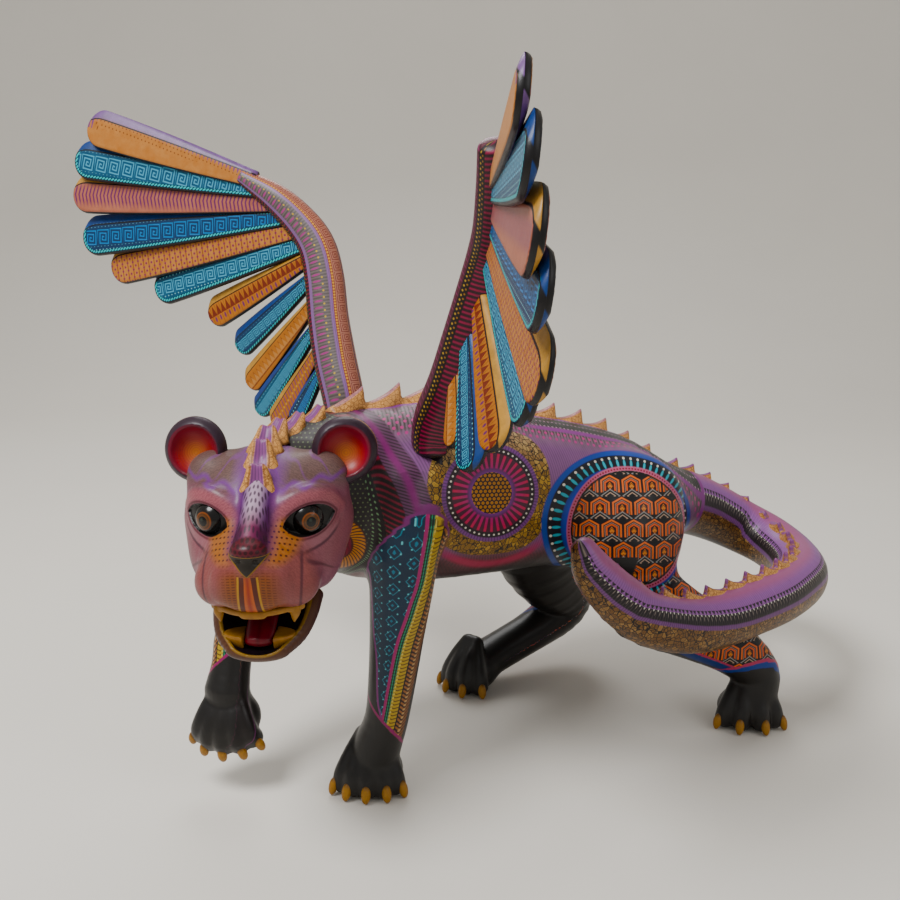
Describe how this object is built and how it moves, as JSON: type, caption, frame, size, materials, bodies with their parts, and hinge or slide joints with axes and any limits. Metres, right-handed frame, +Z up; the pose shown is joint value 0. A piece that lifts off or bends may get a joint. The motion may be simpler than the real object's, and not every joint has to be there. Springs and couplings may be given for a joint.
{
  "type": "alebrije figure",
  "caption": "Carved and painted wooden winged cat, prowling with one forepaw raised, open mouth, spiked crest, looped tail and two lift-out wings.",
  "frame": {"origin": "centre of the figure's box, on the floor plane under the three standing paws", "axes": "+Z up, head toward -Y, tail toward +Y, the animal's left side toward +X"},
  "size_m": [0.6102, 0.6227, 0.5163],
  "materials": {
    "torso_paint": "hand-painted acrylic on copal wood, satin",
    "head_paint": "hand-painted acrylic on copal wood, satin",
    "jaw_paint": "painted wood, dark mouth and gold rim",
    "eye_glass": "polished glass eye",
    "ear_paint": "painted wood, satin",
    "tongue_paint": "painted wood, satin",
    "tooth_paint": "painted wood, satin",
    "leg_paint": "painted wood, satin",
    "black_paint": "black painted wood, satin",
    "tail_paint": "painted wood, satin",
    "crest_paint": "painted wood, satin",
    "dowel_wood": "bare wood",
    "wing_arm_paint": "painted wood, satin",
    "orange_feather": "painted wood, satin",
    "blue_feather": "painted wood, satin"
  },
  "bodies": {
    "figure": {"torso": "torso_paint", "head": "head_paint", "lower_jaw": "jaw_paint", "eye_left": "eye_glass", "eye_right": "eye_glass", "ear_left": "ear_paint", "ear_right": "ear_paint", "tongue": "tongue_paint", "upper_teeth": "tooth_paint", "lower_teeth_left": "tooth_paint", "lower_teeth_right": "tooth_paint", "front_left_leg": "leg_paint", "front_right_leg": "leg_paint", "rear_left_leg": "leg_paint", "rear_right_leg": "black_paint", "tail": "tail_paint", "head_crest": "crest_paint", "back_crest": "crest_paint", "tail_crest": "crest_paint", "neck_dowel": "dowel_wood", "tail_dowel": "dowel_wood", "front_left_dowel": "dowel_wood", "front_right_dowel": "dowel_wood", "rear_left_dowel": "dowel_wood", "rear_right_dowel": "dowel_wood"},
    "left_wing": {"left_wing_arm": "wing_arm_paint", "left_feather_01": "orange_feather", "left_feather_02": "blue_feather", "left_feather_03": "orange_feather", "left_feather_04": "blue_feather", "left_feather_05": "orange_feather", "left_feather_06": "blue_feather", "left_feather_07": "orange_feather", "left_feather_08": "blue_feather", "left_feather_09": "orange_feather", "left_feather_10": "blue_feather", "left_feather_11": "orange_feather", "left_feather_12": "blue_feather"},
    "right_wing": {"right_wing_arm": "wing_arm_paint", "right_feather_01": "orange_feather", "right_feather_02": "blue_feather", "right_feather_03": "orange_feather", "right_feather_04": "blue_feather", "right_feather_05": "orange_feather", "right_feather_06": "blue_feather", "right_feather_07": "orange_feather", "right_feather_08": "blue_feather", "right_feather_09": "orange_feather", "right_feather_10": "blue_feather", "right_feather_11": "orange_feather", "right_feather_12": "blue_feather"}
  },
  "joints": [
    {"name": "left_wing_lift", "type": "slide", "parent": "figure", "child": "left_wing", "axis": [0, 0, 1], "range_m": [0, 0.045]},
    {"name": "right_wing_lift", "type": "slide", "parent": "figure", "child": "right_wing", "axis": [0, 0, 1], "range_m": [0, 0.045]}
  ]
}
